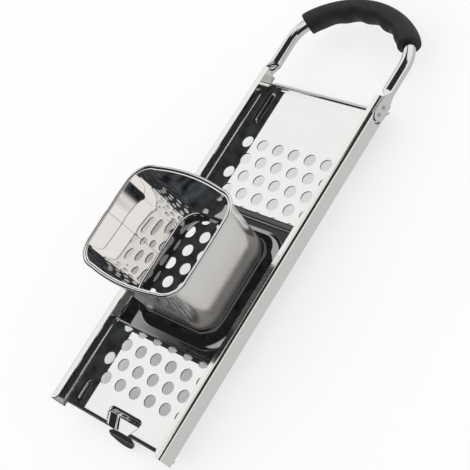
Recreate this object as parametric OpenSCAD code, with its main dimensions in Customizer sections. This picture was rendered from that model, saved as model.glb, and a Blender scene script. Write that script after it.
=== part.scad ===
// Spaetzle maker: a perforated sheet bed between two folded side rails,
// a tapered hopper on a sled that slides along the bed, and a bowed tube handle.
// X runs across the bed, +Y points to the handle, +Z is up.
// The origin is the middle of the bed's underside. All sizes are in millimetres.

/* [Bed] */
// Length of the bed from the front edge to the rear edge
bed_length = 276.5; // [274:0.5:300]
// Thickness of the sheet of bed, rails and sled
sheet = 1; // [0.8:0.1:1.2]
// Diameter of a hole in the bed
hole_d = 9.4; // [6:0.1:10.5]
// Distance between neighbouring holes of one row
hole_pitch = 15; // [12:0.5:15.5]
// Distance between neighbouring rows
row_pitch = 13.1; // [11:0.1:13.2]
// Number of rows
hole_rows = 16; // [8:1:16]
// Number of holes in a row
holes_per_row = 6; // [3:1:6]
// Distance from the bed's rear edge to the row nearest the handle
rear_margin = 54.5; // [52:0.5:62]

/* [Edges of the bed] */
// Outer bend radius of the turned-down front edge
front_lip_r = 1.8; // [1.6:0.1:3]
// Straight depth of the front edge below its bend
front_lip_drop = 0.8; // [0.4:0.1:3]
// Outer bend radius of the curled rear edge
rear_hem_r = 10; // [3:0.5:12]
// Straight depth of the rear edge below its bend
rear_hem_drop = 1.5; // [0.5:0.5:4]

/* [Side rails] */
// Width over the outer faces of both rails
rail_span = 112; // [110:1:124]
// Height of the rails above the top of the bed
rail_height = 14; // [13.4:0.2:18]
// Width of the flange that is turned in over the sled, with its bend
rail_flange = 6.5; // [5:0.5:9]
// Inner radius of the bends
bend_r = 2; // [1:0.25:2.5]
// Length by which the rails stand out past the bed's front edge
rail_front_extra = 5; // [1:0.5:8]
// Length by which the rails stand out past the bed's rear edge
rail_rear_extra = 0; // [0:0.5:4]
// Corner radius of the flange at the front
flange_corner_r = 5; // [2:0.5:6]

/* [Pot hook] */
// Width of the scoop at its back edge
hook_width = 38; // [28:1:40]
// Width of the scoop at the bed's front edge
hook_mouth = 25; // [18:1:26]
// Length of the scoop from its back edge to the bed's front edge
hook_length = 12; // [11:0.5:13]
// Depth of the scoop's floor below the top of the bed
hook_depth = 7; // [5:0.5:8]
// Length over which the scoop's back ramp drops to the floor
hook_ramp = 3; // [2:0.5:4]
// Corner radius of the scoop's back edge, seen from above
hook_corner_r = 4; // [2:0.5:5]
// Radius of the bends at the top and foot of the back ramp
hook_bend_r = 1.5; // [1:0.25:2]
// Radius of the tongue's rounded end, seen from the front
tongue_r = 14; // [12:0.5:15]
// Reach of the tongue's tip past the bed's front edge
tongue_reach = 6.5; // [4:0.5:8]
// Depth of the tongue's tip below the top of the bed
tongue_depth = 16.5; // [14:0.5:20]
// Radius of the roll in which the tongue turns down
tongue_roll = 4; // [2:0.5:5]
// Angle by which the tongue turns down
tongue_turn = 75; // [60:5:85]
// Length over which the tongue widens in front of the scoop
tongue_flare = 3.5; // [2:0.5:5]

/* [Travel stops] */
// Width of a pressed-up stop
stop_width = 7; // [5:0.5:8]
// Height of a stop above the bed
stop_height = 2; // [1.5:0.1:2.5]
// Length of a stop at the front
stop_front_length = 18; // [10:1:20]
// Length of a stop at the rear
stop_rear_length = 28; // [10:1:30]
// Distance from the front stops to the bend of the bed's front edge
stop_front_margin = 0.3; // [0.3:0.1:4]
// Distance from the rear stops to the curl of the bed's rear edge
stop_rear_margin = 1.5; // [0.3:0.1:6]
// Distance of the stops from the middle of the bed
stop_offset = 45.5; // [44:0.5:47]

/* [Handle] */
// Outer diameter of the handle tube
tube_d = 9; // [8:0.5:9.5]
// Distance between the centre lines of the two legs
leg_span = 105; // [104:0.5:106]
// Distance from the bed's rear edge to the crossbar's middle
handle_reach = 65.5; // [62:0.5:90]
// Radius of the bowed crossbar's centre line
crossbar_r = 66.5; // [60:0.5:90]
// Radius of the bends between the legs and the crossbar
corner_r = 30; // [24:0.5:32]
// Length of the flattened ends
tab_length = 16; // [12:1:17]
// Height of the flattened ends
tab_height = 10.6; // [9:0.2:10.8]
// Thickness of the flattened ends
tab_thickness = 1.95; // [1.5:0.05:2.2]
// Length over which the tube changes from round to flat
tab_blend = 7; // [4:0.5:9]
// Length of the recess in the rail's wall that holds a flattened end
seat_length = 17.5; // [17:0.5:20]
// Diameter of a weld spot
weld_d = 3; // [2:0.25:4]

/* [Grip] */
// Diameter of the sleeve at its thickest
grip_d = 17; // [15:0.5:20]
// Length of the sleeve along the tube
grip_length = 106; // [90:1:116]
// Depth of the finger hollows
finger_depth = 1.9; // [0:0.1:2.5]
// Distance between neighbouring finger hollows
finger_pitch = 21; // [18:0.5:24]

/* [Sled] */
// Length of the sled tray along the bed
tray_length = 107; // [100:0.5:112]
// Height of the tray's turned-up edges above the bed
tray_height = 10; // [7:0.5:11]
// Place of the sled's middle along the bed
sled_y = -21.65; // [-30:0.05:0]
// Gap between the tray and the bed
slide_gap = 0.2; // [0.1:0.05:0.4]
// Gap between the tray's side edges and the rails
side_gap = 0.6; // [0.4:0.1:1]

/* [Hopper] */
// Distance from the tray's side edges to the foot of the hopper's wall
foot_margin_x = 16.4; // [14:0.2:20]
// Distance from the tray's front and back edges to the foot of the hopper's wall
foot_margin_y = 16; // [14:0.5:20]
// Distance by which the rim stands out past the foot of the wall at the sides
hopper_lean_x = 10.5; // [4:0.5:14]
// Distance by which the corners of the rim stand out past the foot of the wall at front and back
hopper_lean_y = 2.9; // [0:0.1:8]
// Outward bow of the rim's front and back sides
hopper_bow = 3.2; // [0:0.2:5]
// Height of the rim above the top of the bed
hopper_height = 71.6; // [55:0.2:85]
// Corner radius of the hopper
hopper_corner_r = 15; // [10:0.5:18]
// Thickness of the hopper wall
wall = 0.8; // [0.6:0.1:1]
// Diameter of the rolled rim
rim_d = 2.4; // [2:0.1:3.2]
// Height above the bed at which the hopper wall starts
wall_start = 14; // [13:0.5:15]
// Height of the collar above the bed
collar_height = 17.5; // [16:0.5:20]
// Radius of the flare between the collar and the tray
flare_r = 10; // [7:0.5:10]

/* [Hidden] */
$fn = 64;

steel = [0.80, 0.80, 0.79];
bright_steel = [0.88, 0.88, 0.87];
dark_steel = [0.62, 0.62, 0.62];
black_rubber = [0.07, 0.07, 0.075];

cut = 1;                                      // length by which cutting shapes stand out
bed_front = -bed_length / 2;
bed_rear = bed_length / 2;
rail_x = rail_span / 2;
bend_outer = bend_r + sheet;
bed_half = rail_x - bend_outer;               // half width of the flat bed
rail_top = sheet + rail_height;
rail_front = bed_front - rail_front_extra;
rail_rear = bed_rear + rail_rear_extra;
first_row = bed_rear - rear_margin;

tab_sink = 0.05;                              // the flattened end lies this far below the outer face
tab_gap = 0.2;                                // gap round the flattened end in its recess
tab_overhang = 0.5;                           // the flattened end stands out past the rail's rear end
seat_depth = tab_thickness + tab_sink;
seat_height = tab_height + 2 * tab_gap;
handle_z = sheet + rail_height / 2;
seat_front = rail_rear - seat_length;
seat_corner_r = 5;
tab_rear = rail_rear + tab_overhang;
tab_front = tab_rear - tab_length;
tab_outer = rail_x - tab_sink;

leg_x = leg_span / 2;
crossbar_y = bed_rear + handle_reach - crossbar_r;
corner_x = leg_x - corner_r;
corner_y = crossbar_y + sqrt(pow(crossbar_r - corner_r, 2) - pow(corner_x, 2));
corner_turn = atan2(corner_y - crossbar_y, corner_x);
leg_start = tab_rear + tab_blend;

tray_half = rail_x - sheet - side_gap;
tray_bottom = sheet + slide_gap;
tray_top = sheet + tray_height;
tray_bend = bend_r + sheet;
collar_top = sheet + collar_height;
hopper_foot_x = tray_half - foot_margin_x;    // outer face of the hopper's wall at its foot
hopper_foot_y = tray_length / 2 - foot_margin_y;
hopper_rim_x = hopper_foot_x + hopper_lean_x;
hopper_rim_y = hopper_foot_y + hopper_lean_y;
collar_x = hopper_foot_x - wall;              // outer face of the collar
collar_y = hopper_foot_y - wall;
collar_corner_r = hopper_corner_r - wall;
flare_x = collar_x + flare_r;                 // where the flare meets the tray's floor
flare_y = collar_y + flare_r;
wall_foot = sheet + wall_start;
rim_top = sheet + hopper_height;
rim_z = rim_top - rim_d / 2;

// ---------------------------------------------------------------- helpers

// Points of an arc in the plane, both ends included
function arc(centre, r, from, to, steps) =
    [for (i = [0:steps]) let (a = from + (to - from) * i / steps) centre + r * [cos(a), sin(a)]];

// Unit vector and left-hand normal of the way from a to b
function along(a, b) = (b - a) / norm(b - a);
function left_of(v) = [-v[1], v[0]];

// Corner of an outline that runs anticlockwise, rounded by r after moving its sides in by inset
function rounded_corner(before, corner, after, r, inset, steps) =
    let (u = along(before, corner), v = along(corner, after),
         half = acos(u * v) / 2,
         inner = corner + inset * (left_of(u) + left_of(v)) / (1 + u * v),
         centre = inner + r * (left_of(u) + left_of(v)) / (1 + u * v),
         start = atan2(-left_of(u)[1], -left_of(u)[0]))
    arc(centre, r, start, start + 2 * half, steps);

// Outline through anticlockwise corners, each rounded by its own radius
function rounded_outline(corners, radii, inset = 0, steps = 8) =
    let (n = len(corners))
    [for (i = [0:n - 1])
        for (p = rounded_corner(corners[(i + n - 1) % n], corners[i], corners[(i + 1) % n],
                                radii[i], inset, steps)) p];

// Points on one side of a bent sheet at a bend of its middle line, off to the left of the line
function bend_points(before, corner, after, r, off, steps) =
    let (u = along(before, corner), v = along(corner, after),
         turn = sign(u[0] * v[1] - u[1] * v[0]),
         centre = corner + turn * r * (left_of(u) + left_of(v)) / (1 + u * v),
         start = atan2(-turn * left_of(u)[1], -turn * left_of(u)[0]))
    arc(centre, r - turn * off, start, start + turn * acos(u * v), steps);

function bent_side(path, radii, off, steps) =
    let (last = len(path) - 1)
    concat([path[0] + off * left_of(along(path[0], path[1]))],
           [for (i = [1:last - 1])
               each bend_points(path[i - 1], path[i], path[i + 1], radii[i - 1], off, steps)],
           [path[last] + off * left_of(along(path[last - 1], path[last]))]);

// Side view of a sheet whose middle line follows a path, with a radius at each of its bends
module bent_sheet(path, radii, thickness, steps = 6) {
    left = bent_side(path, radii, thickness / 2, steps);
    right = bent_side(path, radii, -thickness / 2, steps);
    polygon(concat(left, [for (i = [len(right) - 1:-1:0]) right[i]]));
}

// Rounded box with separate half sizes and height, standing on z = 0
module rounded_block(hx, hy, r, h) {
    linear_extrude(h) {
        square([2 * hx, 2 * (hy - r)], center = true);
        square([2 * (hx - r), 2 * hy], center = true);
        for (sx = [-1, 1], sy = [-1, 1]) translate([sx * (hx - r), sy * (hy - r)]) circle(r);
    }
}

// A quarter of a ring of sheet: it bends from flat at its top to upright at its outer side
module quarter_ring(outer, inner) {
    difference() {
        circle(outer);
        circle(inner);
        translate([-outer - cut, -outer - cut]) square([outer + cut, 2 * (outer + cut)]);
        translate([-cut, -outer - cut]) square([outer + 2 * cut, outer + cut]);
    }
}

// Faces between neighbouring rings of m points each. Seen on the way from a ring to the next,
// the points of the outer rings run anticlockwise.
function ring_faces(from, to, m) =
    [for (j = [0:m - 1])
        let (a = from * m + j, b = from * m + (j + 1) % m, c = to * m + (j + 1) % m, d = to * m + j)
        each [[a, b, c], [a, c, d]]];

function ring_points(rings) = [for (ring = rings) for (p = ring) p];

// Hollow body through a closed loop of rings: the last ring joins the first
module ring_loop(rings) {
    n = len(rings);
    polyhedron(ring_points(rings),
               [for (i = [0:n - 1]) each ring_faces(i, (i + 1) % n, len(rings[0]))]);
}

// Solid through a row of rings, closed by a flat cap at each end
module capped_rings(rings) {
    n = len(rings);
    m = len(rings[0]);
    sides = [for (i = [0:n - 2]) each ring_faces(i, i + 1, m)];
    first_cap = [for (j = [m - 1:-1:0]) j];
    last_cap = [for (j = [0:m - 1]) (n - 1) * m + j];
    polyhedron(ring_points(rings), concat(sides, [first_cap, last_cap]));
}

// ---------------------------------------------------------------- bed

// Staggered rows of round holes, every other row moved by half a pitch
module hole_grid() {
    for (row = [0:hole_rows - 1], i = [0:holes_per_row - 1])
        let (shift = row % 2 == 0 ? -hole_pitch / 4 : hole_pitch / 4)
        translate([(i - (holes_per_row - 1) / 2) * hole_pitch + shift, first_row - row * row_pitch])
            circle(d = hole_d, $fn = 40);
}

// Half width of the scoop at a distance behind the bed's front edge
function hook_half(behind) = hook_mouth / 2 + (hook_width - hook_mouth) / 2 * behind / hook_length;

// Outline of the scoop from above; its slanted sides run on past the bed's front edge
mouth_corner_r = 0.2;

module hook_outline(past, inset = 0) {
    back = bed_front + hook_length;
    corners = [[-hook_half(-past), bed_front - past], [hook_half(-past), bed_front - past],
               [hook_half(hook_length), back], [-hook_half(hook_length), back]];
    radii = [mouth_corner_r, mouth_corner_r, hook_corner_r - inset, hook_corner_r - inset];
    polygon(rounded_outline(corners, radii, inset));
}

module bed_plate() {
    color(bright_steel)
    linear_extrude(sheet)
    difference() {
        translate([-bed_half, bed_front + front_lip_r])
            square([2 * bed_half, bed_length - front_lip_r - rear_hem_r]);
        hole_grid();
        hook_outline(cut);
    }
}

// Turned-down edge of the bed: a quarter bend and a short straight drop, along X
module turned_edge(length, r, drop) {
    translate([-length / 2, 0, sheet - r])
    rotate([90, 0, 90])
    linear_extrude(length) {
        quarter_ring(r, r - sheet);
        translate([r - sheet, -drop]) square([sheet, drop]);
    }
}

// The rails' foot bends leave the edge this much shorter than the flat bed at each end
edge_relief = 0.5;

module front_lip() {
    color(bright_steel)
    difference() {
        translate([0, bed_front + front_lip_r, 0])
            mirror([0, 1, 0])
                turned_edge(2 * (bed_half - edge_relief), front_lip_r, front_lip_drop);
        translate([0, 0, -hook_depth]) linear_extrude(2 * hook_depth) hook_outline(2 * cut);
    }
}

module rear_hem() {
    color(bright_steel)
    translate([0, bed_rear - rear_hem_r, 0])
        turned_edge(2 * (bed_half - edge_relief), rear_hem_r, rear_hem_drop);
}

// ---------------------------------------------------------------- rails

// Section of the right rail, X to the right and Z up: foot bend, wall, top bend and flange
module rail_section() {
    translate([bed_half, bend_outer]) mirror([0, 1]) quarter_ring(bend_outer, bend_r);
    translate([rail_x - sheet, bend_outer]) square([sheet, rail_top - 2 * bend_outer]);
    translate([bed_half, rail_top - bend_outer]) quarter_ring(bend_outer, bend_r);
    translate([rail_x - rail_flange, rail_top - sheet]) square([rail_flange - bend_outer, sheet]);
}

// Upright plate on the wall's plane with rounded front corners, thickened towards -X from x
module seat_block(x, thickness, front, rear, height, r) {
    translate([x, 0, 0])
    rotate([0, -90, 0])
    linear_extrude(thickness)
    translate([handle_z - height / 2, 0]) {
        translate([0, front + r]) square([height, rear - front - r]);
        translate([r, front]) square([height - 2 * r, r]);
        for (z = [r, height - r]) translate([z, front + r]) circle(r);
    }
}

module rail() {
    corner_x = rail_x - rail_flange;
    difference() {
        union() {
            translate([0, rail_rear, 0])
                rotate([90, 0, 0])
                    linear_extrude(rail_rear - rail_front) rail_section();
            seat_block(rail_x - sheet, seat_depth, seat_front - sheet, rail_rear,
                       seat_height + 2 * sheet, seat_corner_r + sheet);
        }
        // recess for the flattened end of the handle
        seat_block(rail_x + cut, seat_depth + cut, seat_front, rail_rear + cut,
                   seat_height, seat_corner_r);
        // rounded front corner of the flange
        translate([corner_x, rail_front, rail_top - 2 * sheet])
            difference() {
                translate([-cut, -cut, 0])
                    cube([flange_corner_r + cut, flange_corner_r + cut, 3 * sheet]);
                translate([flange_corner_r, flange_corner_r, -cut])
                    cylinder(r = flange_corner_r, h = 3 * sheet + 2 * cut);
            }
    }
}

module right_rail() {
    color(steel) rail();
}

module left_rail() {
    color(steel) mirror([1, 0, 0]) rail();
}

// ---------------------------------------------------------------- pot hook

// Middle line of ramp, floor and tongue in side view, as [y, z], from the bed to past the tip
hook_back = bed_front + hook_length;
floor_z = sheet / 2 - hook_depth;
tip = [bed_front - tongue_reach, sheet - tongue_depth];
roll_y = tip[0] + (floor_z - tip[1]) / tan(tongue_turn);
hook_path = [[hook_back, sheet / 2],
             [hook_back - sheet, sheet / 2],
             [hook_back - sheet - hook_ramp, floor_z],
             [roll_y, floor_z],
             tip - sheet * [cos(tongue_turn), sin(tongue_turn)]];

// Ramp, floor and tongue at full width
module hook_strip() {
    translate([-hook_width, 0, 0])
        rotate([90, 0, 90])
            linear_extrude(2 * hook_width)
                bent_sheet(hook_path, [hook_bend_r, hook_bend_r, tongue_roll], sheet);
}

// Space over ramp and floor in which the scoop's side walls stand
module hook_sides() {
    translate([-hook_width, 0, 0])
        rotate([90, 0, 90])
            linear_extrude(2 * hook_width)
                polygon([hook_path[0], hook_path[1], hook_path[2], [bed_front, floor_z],
                         [bed_front, sheet], [hook_back, sheet]]);
}

// Outline of the tongue from above: it widens in front of the scoop
module tongue_plan() {
    neck = hook_half(sheet) - mouth_corner_r;
    far = bed_front - 2 * tongue_r;
    polygon([[neck, bed_front + sheet], [-neck, bed_front + sheet],
             [-tongue_r, bed_front - tongue_flare], [-tongue_r, far],
             [tongue_r, far], [tongue_r, bed_front - tongue_flare]]);
}

module pot_hook() {
    deep = 2 * tongue_depth;
    color(dark_steel)
    union() {
        // side walls of the scoop
        intersection() {
            hook_sides();
            translate([0, 0, -deep]) linear_extrude(2 * deep)
                difference() {
                    hook_outline(0);
                    hook_outline(2 * cut, sheet);
                }
        }
        // ramp and floor
        intersection() {
            hook_strip();
            translate([0, 0, -deep]) linear_extrude(2 * deep) hook_outline(0);
        }
        // tongue, rounded seen from the front
        intersection() {
            hook_strip();
            translate([0, 0, -deep]) linear_extrude(2 * deep) tongue_plan();
            translate([0, bed_front + 2 * sheet, sheet - tongue_depth + tongue_r])
                rotate([90, 0, 0]) cylinder(r = tongue_r, h = 2 * tongue_r);
        }
    }
}

// ---------------------------------------------------------------- travel stops

// Half of a low dome section: a circular segment as wide as a stop
stop_dome_r = (pow(stop_width / 2, 2) + pow(stop_height, 2)) / (2 * stop_height);

module stop_section() {
    intersection() {
        translate([0, stop_height - stop_dome_r]) circle(stop_dome_r);
        square([stop_width / 2, stop_height]);
    }
}

module travel_stop(length) {
    straight = length - stop_width;
    for (side = [0, 1])
        mirror([0, side, 0]) translate([0, straight / 2, 0]) rotate_extrude(angle = 180) stop_section();
    for (side = [0, 1])
        mirror([side, 0, 0])
            translate([0, straight / 2, 0]) rotate([90, 0, 0]) linear_extrude(straight) stop_section();
}

stop_front_y = bed_front + front_lip_r + stop_front_margin + stop_front_length / 2;
stop_rear_y = bed_rear - rear_hem_r - stop_rear_margin - stop_rear_length / 2;

module travel_stops() {
    color(dark_steel)
    for (side = [-1, 1]) {
        translate([side * stop_offset, stop_front_y, sheet]) travel_stop(stop_front_length);
        translate([side * stop_offset, stop_rear_y, sheet]) travel_stop(stop_rear_length);
    }
}

// ---------------------------------------------------------------- handle

// Point of the handle's centre line at distance s from the crossbar's middle, as [x, y, angle of
// the outward normal]; past the corners the line runs straight down the legs.
function handle_point(s) =
    let (side = s < 0 ? -1 : 1, d = abs(s),
         normal = d <= bar_length ? 90 - d / crossbar_r * 180 / PI
                : d <= bend_length ? corner_turn - (d - bar_length) / corner_r * 180 / PI
                : 0,
         base = d <= bar_length ? [0, crossbar_y] + crossbar_r * [cos(normal), sin(normal)]
              : d <= bend_length ? [corner_x, corner_y] + corner_r * [cos(normal), sin(normal)]
              : [leg_x, corner_y - (d - bend_length)])
    [side * base[0], base[1], side > 0 ? normal : 180 - normal];
bar_length = crossbar_r * (90 - corner_turn) * PI / 180;
bend_length = bar_length + corner_r * corner_turn * PI / 180;
leg_length = bend_length + corner_y - leg_start;
tube_sides = 32;
bar_steps = 8;
bend_steps = 10;
blend_steps = 8;
blend_lap = 0.4;                              // the tube ends this far inside the flattened end

// Outline of the tube round its centre line, as [outwards, up]. With f = 0 it is flat and lies in
// the flattened end, with f = 1 it is round.
function tube_outline(f) =
    let (skin = 0.03,                         // keeps the flat outline just inside the flattened end
         half_x = tab_thickness / 2 - skin,
         half_z = tab_height / 2 - skin,
         shift = tab_outer - tab_thickness / 2 - leg_x)
    [for (i = [0:tube_sides - 1])
        let (a = 360 * i / tube_sides,
             flat = [shift + half_x * sign(cos(a)) * pow(abs(cos(a)), 0.25),
                     half_z * sign(sin(a)) * pow(abs(sin(a)), 0.5)])
        flat * (1 - f) + tube_d / 2 * [cos(a), sin(a)] * f];

function tube_ring(s, f) =
    let (p = handle_point(s), out = [cos(p[2]), sin(p[2]), 0])
    [for (q = tube_outline(f)) [p[0], p[1], handle_z] + q[0] * out + [0, 0, q[1]]];

// Stations from the crossbar's middle to one flattened end, as [distance, roundness]
tube_stations = concat(
    [for (i = [0:bar_steps]) [bar_length * i / bar_steps, 1]],
    [for (i = [1:bend_steps]) [bar_length + (bend_length - bar_length) * i / bend_steps, 1]],
    [for (i = [0:blend_steps])
        [leg_length + tab_blend * i / blend_steps, 0.5 + 0.5 * cos(180 * i / blend_steps)]],
    [[leg_length + tab_blend + blend_lap, 0]]);

// Flattened end that lies in the rail's recess, with rounded front corners
module flat_end() {
    seat_block(tab_outer, tab_thickness, tab_front, tab_rear, tab_height, seat_corner_r - tab_gap);
}

module handle_tube() {
    n = len(tube_stations);
    color(bright_steel) {
        capped_rings(concat(
            [for (i = [n - 1:-1:0]) tube_ring(tube_stations[i][0], tube_stations[i][1])],
            [for (i = [1:n - 1]) tube_ring(-tube_stations[i][0], tube_stations[i][1])]));
        for (side = [0, 1]) mirror([side, 0, 0]) flat_end();
    }
}

weld_spacing = 6;
weld_height = 0.25;

module handle_welds() {
    color(dark_steel)
    for (side = [0, 1], i = [-0.5, 0.5])
        mirror([side, 0, 0])
            translate([tab_outer, (tab_front + tab_rear) / 2 - 0.5 + i * weld_spacing, handle_z])
                rotate([0, 90, 0]) cylinder(d = weld_d, h = weld_height);
}

// ---------------------------------------------------------------- grip

grip_gap = 0.25;                              // gap between the tube and the sleeve
grip_bore_r = tube_d / 2 + grip_gap;
grip_steps = 26;
bore_steps = 8;
grip_sides = 20;
grip_edge = 1.6;                              // rounding of the sleeve's end edges

// Radius of the sleeve at distance s along it and angle a round it; a = 180 faces the palm's side
function grip_radius(s, a) =
    let (inner = max(0, -cos(a)),
         wave = 0.5 - 0.5 * cos(360 * (s / finger_pitch)),
         reach = abs(s) < 2 * finger_pitch ? 1 : 0)
    grip_d / 2 - finger_depth * wave * reach * pow(inner, 2);

// Radius near the ends, where the edge is rounded
function grip_end_drop(s) =
    let (left = grip_length / 2 - abs(s))
    left >= grip_edge ? 0 : grip_edge - sqrt(max(0, pow(grip_edge, 2) - pow(grip_edge - left, 2)));

function grip_ring(s, bore) =
    let (p = handle_point(s), out = [cos(p[2]), sin(p[2]), 0])
    [for (i = [0:grip_sides - 1])
        let (a = 360 * i / grip_sides,
             r = bore ? grip_bore_r / cos(180 / grip_sides) : grip_radius(s, a) - grip_end_drop(s))
        [p[0], p[1], handle_z] + r * (cos(a) * out + sin(a) * [0, 0, 1])];

// Places along half of the sleeve, with three more near its end for the rounded edge
grip_half = grip_length / 2;
grip_places = concat([for (i = [0:grip_steps]) (grip_half - grip_edge) * i / grip_steps],
                     [for (left = [0.8, 0.3, 0]) grip_half - left]);

module grip() {
    n = len(grip_places);
    outer = concat([for (i = [n - 1:-1:0]) grip_ring(grip_places[i], false)],
                   [for (i = [1:n - 1]) grip_ring(-grip_places[i], false)]);
    bore = [for (i = [-bore_steps:bore_steps]) grip_ring(grip_half * i / bore_steps, true)];
    color(black_rubber) ring_loop(concat(outer, bore));
}

// ---------------------------------------------------------------- sled

// Turned-up edge of the tray: a quarter bend and an upright wall, along a side of given length
module tray_edge(length) {
    rotate([90, 0, 0])
    linear_extrude(length, center = true) {
        translate([-tray_bend, tray_bend]) mirror([0, 1]) quarter_ring(tray_bend, bend_r);
        translate([-sheet, tray_bend]) square([sheet, tray_top - tray_bottom - tray_bend]);
    }
}

module sled_tray() {
    half_y = tray_length / 2;
    color(bright_steel)
    translate([0, sled_y, tray_bottom]) {
        difference() {
            translate([-tray_half + tray_bend, -half_y + tray_bend, 0])
                cube([2 * (tray_half - tray_bend), 2 * (half_y - tray_bend), sheet]);
            translate([0, 0, -cut])
                rounded_block(flare_x, flare_y, collar_corner_r + flare_r, sheet + 2 * cut);
        }
        for (side = [0, 180])
            rotate([0, 0, side]) translate([tray_half, 0, 0]) tray_edge(2 * (half_y - tray_bend));
        for (side = [90, 270])
            rotate([0, 0, side])
                translate([half_y, 0, 0]) tray_edge(2 * (tray_half - tray_bend));
    }
}

// Section of the collar: an upright neck that flares out to the tray's floor.
// X is the distance outwards from the neck's outer face, Y is the height above the tray's underside.
module collar_section() {
    neck_foot = sheet + flare_r;
    translate([-sheet, neck_foot]) square([sheet, collar_top - tray_bottom - neck_foot]);
    translate([flare_r, neck_foot])
        mirror([1, 0]) mirror([0, 1]) quarter_ring(flare_r + sheet, flare_r);
}

module hopper_collar() {
    r = collar_corner_r;
    color(steel)
    translate([0, sled_y, tray_bottom]) {
        for (sx = [0, 1], sy = [0, 1])
            mirror([sx, 0, 0]) mirror([0, sy, 0])
                translate([collar_x - r, collar_y - r, 0])
                    rotate_extrude(angle = 90) translate([r, 0]) collar_section();
        for (side = [0, 180])
            rotate([0, 0, side])
                translate([collar_x, 0, 0])
                    rotate([90, 0, 0]) linear_extrude(2 * (collar_y - r), center = true) collar_section();
        for (side = [90, 270])
            rotate([0, 0, side])
                translate([collar_y, 0, 0])
                    rotate([90, 0, 0]) linear_extrude(2 * (collar_x - r), center = true) collar_section();
    }
}

// ---------------------------------------------------------------- hopper

corner_steps = 8;
side_steps = 8;
side_bow = hopper_bow / 10;                   // the left and right sides bow much less

// Point on one side of the hopper's outline: t runs from 0 to 1 along the side that faces +X
function side_point(hx, hy, r, bow, t) =
    let (u = 2 * t - 1) [hx + bow * (1 - u * u), u * (hy - r)];

// Outline of the hopper at height fraction f (0 at the wall's foot, 1 at the rim), moved out by grow.
// The front and back sides bow outwards towards the rim; the left and right sides hardly do.
function hopper_outline(f, grow) =
    let (hx = hopper_foot_x + (hopper_rim_x - rim_d - hopper_foot_x) * f + grow,
         hy = hopper_foot_y + (hopper_rim_y - rim_d - hopper_foot_y) * f + grow,
         r = hopper_corner_r + grow,
         bow_x = side_bow * f, bow_y = hopper_bow * f)
    concat(
        [for (i = [1:side_steps - 1]) side_point(hx, hy, r, bow_x, i / side_steps)],
        arc([hx - r, hy - r], r, 0, 90, corner_steps),
        [for (i = [1:side_steps - 1]) let (p = side_point(hy, hx, r, bow_y, i / side_steps)) [-p[1], p[0]]],
        arc([r - hx, hy - r], r, 90, 180, corner_steps),
        [for (i = [1:side_steps - 1]) -side_point(hx, hy, r, bow_x, i / side_steps)],
        arc([r - hx, r - hy], r, 180, 270, corner_steps),
        [for (i = [1:side_steps - 1]) let (p = side_point(hy, hx, r, bow_y, i / side_steps)) [p[1], -p[0]]],
        arc([hx - r, r - hy], r, 270, 360, corner_steps));

// Height of the hopper's outline at height fraction f
function hopper_z(f) = wall_foot + (rim_z - wall_foot) * f;

function hopper_ring(f, grow) = [for (p = hopper_outline(f, grow)) [p[0], p[1] + sled_y, hopper_z(f)]];

module hopper_wall() {
    color(steel)
    ring_loop([hopper_ring(1, 0), hopper_ring(0.5, 0), hopper_ring(0, 0),
               hopper_ring(0, -wall), hopper_ring(0.5, -wall), hopper_ring(1, -wall)]);
}

rim_sides = 10;

module hopper_rim() {
    middle = rim_d / 2;
    color(bright_steel)
    ring_loop([for (i = [0:rim_sides - 1])
        let (a = -360 * i / rim_sides, d = middle + rim_d / 2 * cos(a))
        [for (p = hopper_outline(1, d)) [p[0], p[1] + sled_y, rim_z + rim_d / 2 * sin(a)]]]);
}

// ---------------------------------------------------------------- nodes

bed_plate();
front_lip();
rear_hem();
left_rail();
right_rail();
pot_hook();
travel_stops();
handle_tube();
handle_welds();
grip();
sled_tray();
hopper_collar();
hopper_wall();
hopper_rim();
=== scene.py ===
"""Looks of the spaetzle maker: mirror-bright sheet steel, a satin hopper and a black soft sleeve.

Lengths are in metres, in the part's own frame: X across the bed, +Y towards the handle, +Z up.
"""

import math

import bmesh
import bpy
from mathutils import Matrix, Vector


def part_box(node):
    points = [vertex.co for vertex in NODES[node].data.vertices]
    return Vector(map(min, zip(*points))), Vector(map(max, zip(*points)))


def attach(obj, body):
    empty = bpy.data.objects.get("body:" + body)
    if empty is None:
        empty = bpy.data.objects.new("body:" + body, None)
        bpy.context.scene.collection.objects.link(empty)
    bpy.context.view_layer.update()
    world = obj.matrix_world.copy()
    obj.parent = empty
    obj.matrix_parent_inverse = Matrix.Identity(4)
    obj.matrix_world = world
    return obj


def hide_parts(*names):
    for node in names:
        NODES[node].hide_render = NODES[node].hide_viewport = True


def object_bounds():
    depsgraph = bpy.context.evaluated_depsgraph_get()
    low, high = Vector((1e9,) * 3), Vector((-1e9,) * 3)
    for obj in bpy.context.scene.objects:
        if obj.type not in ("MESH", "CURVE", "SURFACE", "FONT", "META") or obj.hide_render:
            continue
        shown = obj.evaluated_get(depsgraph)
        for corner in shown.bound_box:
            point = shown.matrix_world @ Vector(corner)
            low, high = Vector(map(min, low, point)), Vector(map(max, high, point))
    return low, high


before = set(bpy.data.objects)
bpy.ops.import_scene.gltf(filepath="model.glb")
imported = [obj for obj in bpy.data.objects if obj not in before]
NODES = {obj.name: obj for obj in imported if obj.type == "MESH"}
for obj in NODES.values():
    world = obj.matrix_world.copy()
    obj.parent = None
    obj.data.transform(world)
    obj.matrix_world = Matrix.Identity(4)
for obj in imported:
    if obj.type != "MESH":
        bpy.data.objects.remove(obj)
CAD_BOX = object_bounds()

# ---------------------------------------------------------------- sizes, as in the part's source

MM = 0.001
SHEET = 1.0 * MM
BED_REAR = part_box("rear_hem")[1].y
BED_FRONT = -BED_REAR
RAIL_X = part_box("right_rail")[1].x
RAIL_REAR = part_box("right_rail")[1].y
RAIL_HEIGHT = 14.0 * MM

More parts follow.
